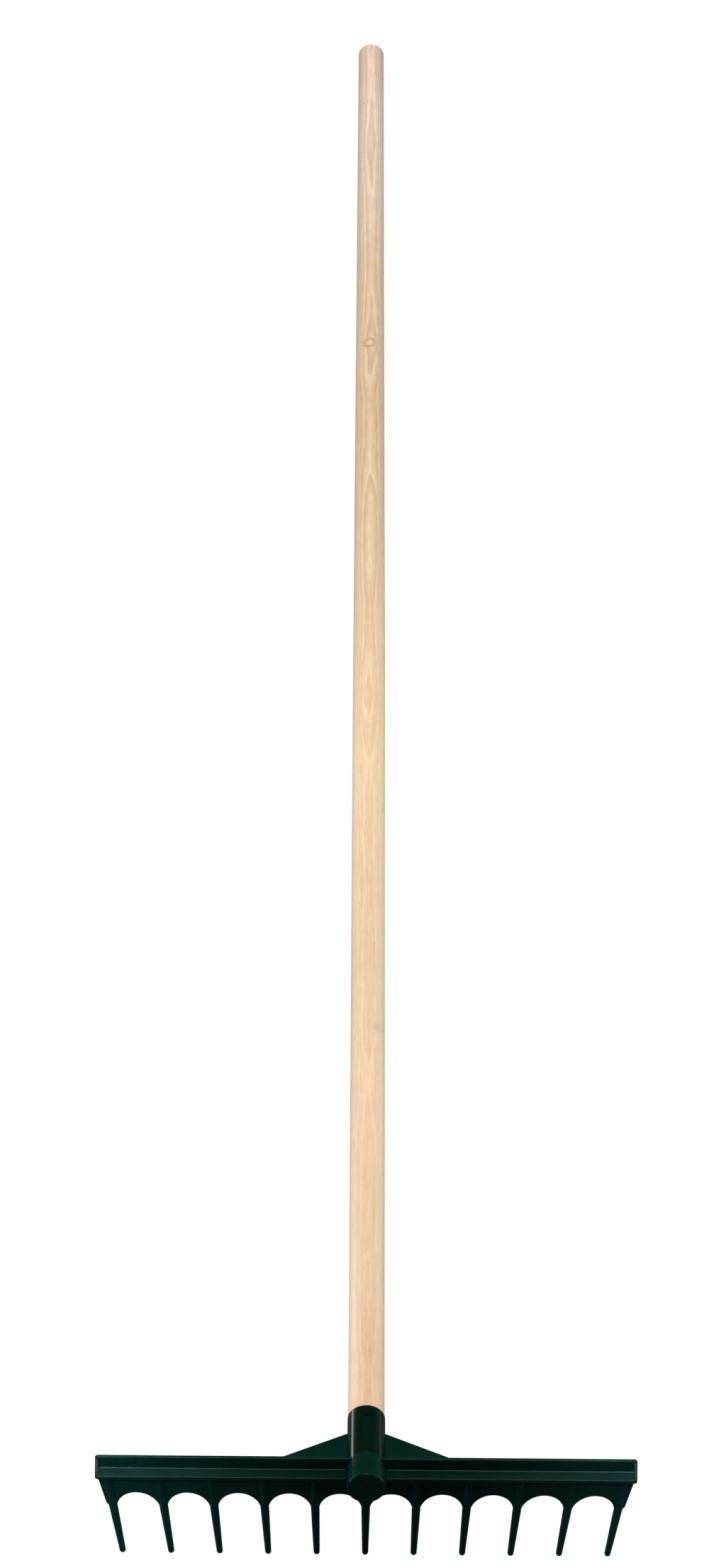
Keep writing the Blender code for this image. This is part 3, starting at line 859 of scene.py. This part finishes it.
def marked_wood(tree, colour, round_knot, pin_knot, stain, speck, hole_shade):
    """The knots' outlines and heart, a stain, a speck, and a painted shade inside the pilot hole."""
    outlines = calc(tree, "ADD", product(tree, round_knot["Outline"], ROUND_KNOT_OUTLINE),
                    product(tree, pin_knot["Outline"], PIN_KNOT_OUTLINE), clamp=True)
    colour = mix(tree, outlines, colour, KNOT_OUTLINE_COLOUR)
    for mark, (strength, mark_colour) in ((round_knot, KNOT_HEART_LOOK), (stain, STAIN_LOOK),
                                          (speck, SPECK_LOOK), (hole_shade, HOLE_SHADE_LOOK)):
        colour = mix(tree, product(tree, mark["Heart"], strength), colour, mark_colour)
    return colour


def make_pale_wood(rings, knot, fibres, handling):
    """Sanded pale wood with straight grain, for the pole."""
    material, tree, shader = new_material("sanded_pale_wood", 0.3)
    position = rake_position(tree, SOCKET_LENGTH)
    place = split(tree, position)
    # The last mark is a painted shade inside the pilot hole
    marks = [place_group(tree, knot, {"Position": position, **mark})
             for mark in (ROUND_KNOT, PIN_KNOT, STAIN, SPECK, HOLE_SHADE_PATCH)]
    round_knot, pin_knot = marks[:2]
    push = calc(tree, "ADD", round_knot["Push"], product(tree, pin_knot["Push"], 0.5))
    ring = place_group(tree, rings, {"Position": position, "Push": push, **GROWTH_RINGS})
    fibre = place_group(tree, fibres, {"Position": position, "Fineness": 1.0})
    handled = place_group(tree, handling, {"Position": position, "Size": 1.0})

    colour = ringed_wood(tree, place, wood_tone(tree, place), ring)
    colour = marked_wood(tree, fibred_wood(tree, colour, fibre), *marks)
    strength, times = SMUDGES
    smudged = remap(tree, handled["Smudges"], 0.45, 0.75, 0.0, strength)
    tree.links.new(tint(tree, smudged, colour, times), shader.inputs["Base Color"])

    rough = remap(tree, fibre["Fibres"], 0.2, 0.8, 0.50, 0.66)
    rough = calc(tree, "SUBTRACT", rough, product(tree, handled["Smudges"], 0.08))
    tree.links.new(rough, shader.inputs["Roughness"])
    height = calc(tree, "SUBTRACT", product(tree, fibre["Fibres"], 0.6), fibre["Pores"])
    link_bump(tree, shader, height, 0.35, 0.00004)
    return material


def make_green_plastic(name, mould, handling, roughness, specular, light, deep, dust_and_sheen, grain):
    """Dark green moulded plastic. The sleeve is smoother than the satin comb, and its deeper green is
    a painted shade.
    The comb's upper faces have pale dust with a painted sheen that grows towards the comb's ends.
    """
    material, tree, shader = new_material(name, specular)
    position = rake_position(tree, 0.0)
    texture = place_group(tree, mould, {"Position": position})
    handled = place_group(tree, handling, {"Position": position, "Size": 1.6})
    smudges = handled["Smudges"]
    green = mix(tree, remap(tree, texture["Cloud"], 0.3, 0.7), (*deep, 1.0), (*light, 1.0))
    scuffed = mix(tree, product(tree, handled["Scuffs"], 0.05), green, SCUFF_COLOUR)

    # Upper faces towards the comb's ends get pale dust and a painted sheen, a reflection painted into
    # the colour
    facing = add(tree, "ShaderNodeNewGeometry").outputs["Normal"]
    upward = remap(tree, split(tree, facing)["Z"], 0.3, 0.95)
    beside = calc(tree, "ABSOLUTE", split(tree, position)["X"])
    outward = remap(tree, beside, 0.03, 0.13, 0.05, 0.62, smooth=True)
    uneven = remap(tree, smudges, 0.3, 0.7, 0.7 * dust_and_sheen, 1.3 * dust_and_sheen)
    dust_and_sheen_mask = product(tree, product(tree, upward, outward), uneven)
    tree.links.new(mix(tree, dust_and_sheen_mask, scuffed, DUST_AND_SHEEN_COLOUR), shader.inputs["Base Color"])

    rough = remap(tree, smudges, 0.3, 0.7, roughness - 0.04, roughness + 0.05)
    tree.links.new(rough, shader.inputs["Roughness"])
    link_bump(tree, shader, texture["Grain"], grain, 0.00003)
    return material


# Floor, light and camera

def lay_floor():
    """A plain white floor. It shows white to the camera and still takes the rake's soft shadow."""
    deselect_all()
    bpy.ops.mesh.primitive_plane_add(size=FLOOR_SIZE, location=(0.0, 0.0, 0.0))
    floor = bpy.context.object
    floor.name = "studio_floor"
    material = bpy.data.materials.new("white_paper_floor")
    material.use_nodes = True
    tree = material.node_tree
    tree.nodes.clear()
    matt = add(tree, "ShaderNodeBsdfDiffuse", {"Color": FLOOR_COLOUR})
    seen = add(tree, "ShaderNodeLightPath").outputs["Is Camera Ray"]
    glow = add(tree, "ShaderNodeEmission", {"Strength": product(tree, seen, FLOOR_GLOW)})
    both = add(tree, "ShaderNodeAddShader", {0: matt.outputs[0], 1: glow.outputs[0]})
    add(tree, "ShaderNodeOutputMaterial", {"Surface": both.outputs[0]})
    floor.data.materials.append(material)


def light_world():
    """Weak bluish air around the rake, which the camera sees as white."""
    world = bpy.data.worlds.new("studio_air")
    bpy.context.scene.world = world
    world.use_nodes = True
    tree = world.node_tree
    tree.nodes.clear()
    seen = add(tree, "ShaderNodeLightPath").outputs["Is Camera Ray"]
    strength = remap(tree, seen, 0.0, 1.0, AIR_STRENGTH, 1.0)
    colour = mix(tree, seen, AIR_COLOUR, WHITE)
    air = add(tree, "ShaderNodeBackground", {"Color": colour, "Strength": strength})
    add(tree, "ShaderNodeOutputWorld", {"Surface": air.outputs[0]})


def hang_softbox(name, place, target, size, power, colour, spread=180.0):
    """A rectangular lamp that faces its target; size is width and height, spread in degrees."""
    lamp = bpy.data.lights.new(name, "AREA")
    lamp.shape = "RECTANGLE"
    lamp.size, lamp.size_y = size
    lamp.energy = power
    lamp.spread = math.radians(spread)
    lamp.color = colour
    box = bpy.data.objects.new(name, lamp)
    bpy.context.scene.collection.objects.link(box)
    box.location = place
    box.visible_camera = False
    box.rotation_mode = "QUATERNION"
    box.rotation_quaternion = (Vector(target) - Vector(place)).to_track_quat("-Z", "Y")


def light_studio():
    """Large softboxes for even light, and small low lamps for the bright lines on the plastic."""
    hang_softbox("top_softbox", place=(0.1, 0.25, 4.2), target=(0.0, 0.0, 0.0),
                 size=(2.6, 2.6), power=84.0, colour=(1.0, 0.98, 0.86))
    hang_softbox("front_softbox", place=(0.0, -1.75, 3.2), target=(0.0, -0.9, 0.0),
                 size=(1.0, 1.3), power=54.0, colour=(1.0, 0.98, 0.90))
    for (side, word), power in zip(SIDES, (35.0, 31.0)):
        hang_softbox(word + "_softbox", place=(side * 1.7, 0.0, 0.6), target=(0.0, 0.0, 0.04),
                     size=(0.7, 1.0), power=power, colour=(0.96, 0.99, 1.0))
    for (side, word), power in zip(SIDES, (0.030, 0.0020)):
        hang_softbox(word + "_back_lamp", place=(side * 0.42, -0.37, 0.034),
                     target=(0.0, -0.885, 0.08), size=(0.26, 0.06), power=power,
                     colour=(0.96, 1.0, 0.9), spread=36.0)
    for (side, word), power in zip(SIDES, (0.15, 0.06)):
        hang_softbox(word + "_strip_light", place=(side * 0.95, -1.03, 0.05),
                     target=(0.0, -0.9, 0.045), size=(0.35, 0.08), power=power,
                     colour=(0.42, 0.70, 1.0), spread=24.0)
    hang_softbox("back_softbox", place=(0.0, 3.4, 1.3), target=(0.0, 0.3, 0.05),
                 size=(1.6, 1.0), power=18.0, colour=(1.0, 0.99, 0.97))
    hang_softbox("far_softbox", place=(0.1, 1.3, 3.0), target=(0.1, 1.3, 0.0),
                 size=(0.8, 0.8), power=2.0, colour=(1.0, 0.98, 0.94), spread=60.0)
    hang_softbox("left_front_lamp", place=(-0.30, -1.60, 0.95), target=(-0.22, -0.91, 0.07),
                 size=(0.08, 0.08), power=0.22, colour=(0.62, 0.82, 1.0), spread=18.0)
    hang_softbox("right_front_lamp", place=(0.30, -1.60, 0.95), target=(0.23, -0.91, 0.07),
                 size=(0.08, 0.08), power=0.13, colour=(0.62, 0.82, 1.0), spread=16.0)


def place_camera():
    """A long lens in front of the head, looking down on it, in the head's own frame."""
    pitch = math.radians(CAMERA_PITCH)
    yaw = math.radians(CAMERA_YAW)
    roll = math.radians(CAMERA_ROLL)
    look = Vector((math.sin(yaw) * math.cos(pitch), math.cos(yaw) * math.cos(pitch),
                   -math.sin(pitch)))
    right = Vector((math.cos(yaw), -math.sin(yaw), 0.0))
    up = right.cross(look)
    turned_right = right * math.cos(roll) + up * math.sin(roll)
    turned_up = up * math.cos(roll) - right * math.sin(roll)
    view = Matrix((turned_right, turned_up, -look)).transposed().to_4x4()
    view.translation = CAMERA_PLACE
    data = bpy.data.cameras.new("long_lens")
    data.sensor_width = CAMERA_SENSOR
    data.lens = CAMERA_LENS
    data.clip_start = 0.1
    data.clip_end = 100.0
    camera = bpy.data.objects.new("camera", data)
    bpy.context.scene.collection.objects.link(camera)
    camera.matrix_world = head_frame @ view
    bpy.context.scene.camera = camera


def build_rake():
    handling = make_handling()
    mould = make_mould_texture()
    satin = make_green_plastic("satin_dark_green_plastic", mould, handling, **SATIN_FINISH)
    # The sleeve's darker green is a painted shade
    smooth = make_green_plastic("smooth_shaded_green_plastic", mould, handling, **SMOOTH_SHADED_FINISH)
    wood = make_pale_wood(make_growth_rings(), make_knot(), make_fibres(), handling)

    boss = draw_boss()
    sleeve = draw_sleeve()
    comb = [boss, draw_plate()]
    for side, word in SIDES:
        comb += [draw_ledge(side, word), draw_end_wall(side, word), draw_gusset(side, word)]
    comb += draw_tines()
    finish_piece(sleeve, "head", smooth)
    for piece in comb:
        finish_piece(piece, "head", satin)
    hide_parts("rake_head")

    pole = finish_piece(draw_handle(), "handle", wood)
    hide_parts("handle")


bpy.context.scene.view_settings.view_transform = "Standard"
build_rake()
lay_floor()
light_world()
light_studio()
place_camera()
